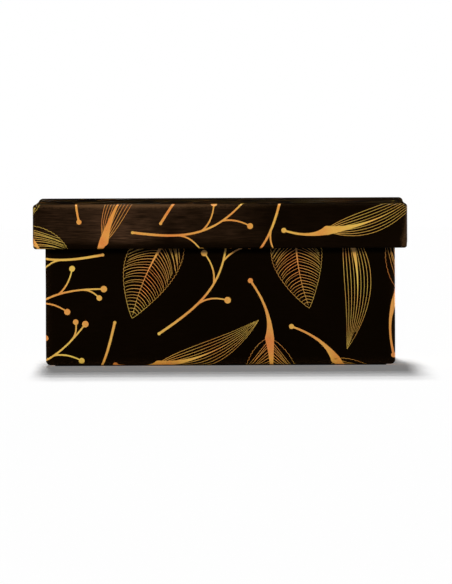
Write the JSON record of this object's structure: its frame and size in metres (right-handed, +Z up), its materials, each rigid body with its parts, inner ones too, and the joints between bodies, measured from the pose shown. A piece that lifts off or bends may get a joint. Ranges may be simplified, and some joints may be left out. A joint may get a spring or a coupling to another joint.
{
  "type": "gift box",
  "caption": "Rectangular rigid box for papers and keepsakes, with a loose deep-skirted lid that lifts straight off, covered in dark printed paper.",
  "frame": {"origin": "centre of the underside, on the surface that the box stands on", "axes": "+X along the box's length to the right as seen from the front, +Y towards the back, +Z up, the way the lid lifts"},
  "size_m": [0.2044, 0.1544, 0.0888],
  "materials": {
    "cover_paper": "satin printed paper",
    "greyboard": "raw greyboard, 2 mm",
    "lining_paper": "plain uncoated paper",
    "gummed_tape": "gummed kraft tape",
    "underside_paper": "plain uncoated paper",
    "gold_print": "metallic gold print"
  },
  "bodies": {
    "base": {"base_board": "greyboard", "base_lining": "lining_paper", "base_corner_stay_front_left": "gummed_tape", "base_corner_stay_front_right": "gummed_tape", "base_corner_stay_back_left": "gummed_tape", "base_corner_stay_back_right": "gummed_tape", "base_cover_paper": "cover_paper", "base_underside_sheet": "underside_paper"},
    "lid": {"lid_board": "greyboard", "lid_lining": "lining_paper", "lid_corner_stay_front_left": "gummed_tape", "lid_corner_stay_front_right": "gummed_tape", "lid_corner_stay_back_left": "gummed_tape", "lid_corner_stay_back_right": "gummed_tape", "lid_cover_paper": "cover_paper"}
  },
  "joints": [
    {"name": "lid_lift", "type": "slide", "parent": "base", "child": "lid", "axis": [0, 0, 1], "range_m": [0, 0.12]}
  ]
}
